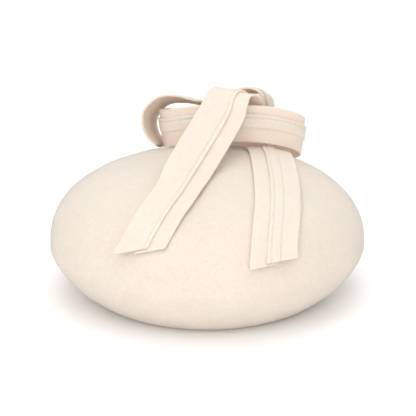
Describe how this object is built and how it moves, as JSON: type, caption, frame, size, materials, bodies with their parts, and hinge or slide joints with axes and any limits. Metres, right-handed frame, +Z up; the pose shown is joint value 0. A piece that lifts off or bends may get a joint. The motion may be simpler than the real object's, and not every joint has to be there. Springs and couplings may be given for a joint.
{
  "type": "pillbox hat",
  "caption": "Domed felt pillbox hat with a full rounded edge, open below for the head, and a tied felt strap with a ring, a bow loop and two hanging tails on top.",
  "frame": {"origin": "on the surface that the hat rests on, under the middle of the hat", "axes": "+Z up through the crown, -Y towards the hat's front where the tails hang, +X towards the right of someone who faces the hat"},
  "size_m": [0.25, 0.254, 0.1539],
  "materials": {
    "felt_body": "cream wool felt with a short soft nap",
    "felt_strap": "cream wool felt strips, pressed flat, with cut edges"
  },
  "bodies": {
    "root": {"felt_crown": "felt_body", "ring_band": "felt_strap", "bow_loop": "felt_strap", "left_tail": "felt_strap", "right_tail": "felt_strap"}
  },
  "joints": []
}
